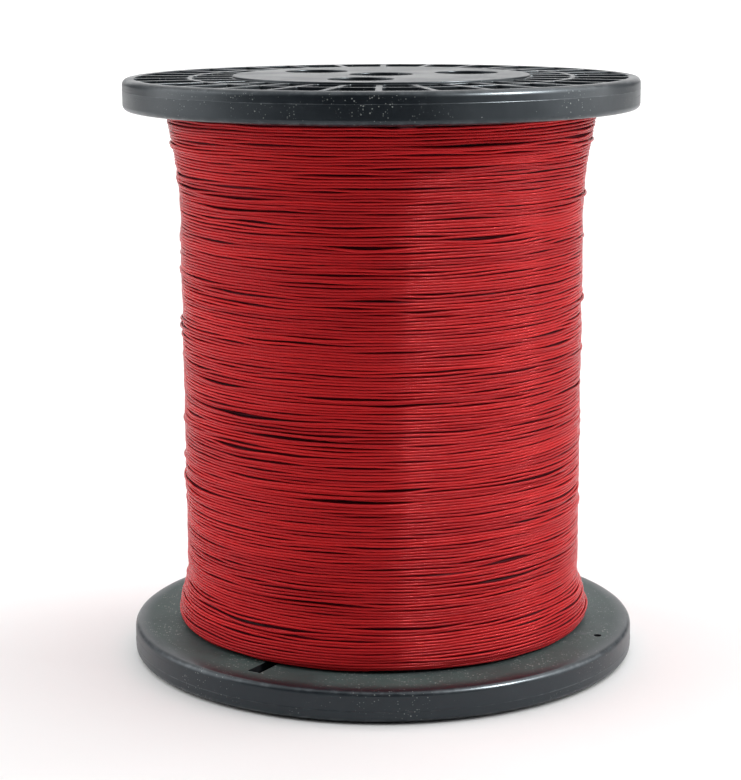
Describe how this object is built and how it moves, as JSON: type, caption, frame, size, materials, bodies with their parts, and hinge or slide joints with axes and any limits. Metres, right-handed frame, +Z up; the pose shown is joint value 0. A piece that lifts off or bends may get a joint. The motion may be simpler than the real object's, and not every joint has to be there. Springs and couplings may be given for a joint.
{
  "type": "wire spool",
  "caption": "Free-standing plastic process reel wound full of red hook-up wire, with ribbed flanges, a central arbor bore and round drive holes.",
  "frame": {"origin": "centre of the lower hub face, which is the face that the spool stands on", "axes": "+Z up along the spool's axis, -Y towards the front, +X to the right seen from the front"},
  "size_m": [0.3048, 0.3048, 0.3494],
  "materials": {
    "flange_plastic": "satin dark grey moulded plastic with dust and light scuffs",
    "barrel_plastic": "plain dark grey extruded plastic",
    "wire_jacket": "glossy red insulation over stranded wire",
    "zinc_steel": "bright zinc-plated steel"
  },
  "bodies": {
    "root": {"upper_flange": "flange_plastic", "lower_flange": "flange_plastic", "barrel_tube": "barrel_plastic", "arbor_tube": "barrel_plastic", "wire_winding": "wire_jacket", "tie_bolt_1": "zinc_steel", "tie_bolt_2": "zinc_steel", "tie_bolt_3": "zinc_steel", "tie_bolt_4": "zinc_steel", "tie_bolt_5": "zinc_steel", "tie_bolt_6": "zinc_steel", "head_washer_1": "zinc_steel", "head_washer_2": "zinc_steel", "head_washer_3": "zinc_steel", "head_washer_4": "zinc_steel", "head_washer_5": "zinc_steel", "head_washer_6": "zinc_steel", "nut_washer_1": "zinc_steel", "nut_washer_2": "zinc_steel", "nut_washer_3": "zinc_steel", "nut_washer_4": "zinc_steel", "nut_washer_5": "zinc_steel", "nut_washer_6": "zinc_steel", "tie_nut_1": "zinc_steel", "tie_nut_2": "zinc_steel", "tie_nut_3": "zinc_steel", "tie_nut_4": "zinc_steel", "tie_nut_5": "zinc_steel", "tie_nut_6": "zinc_steel"}
  },
  "joints": []
}
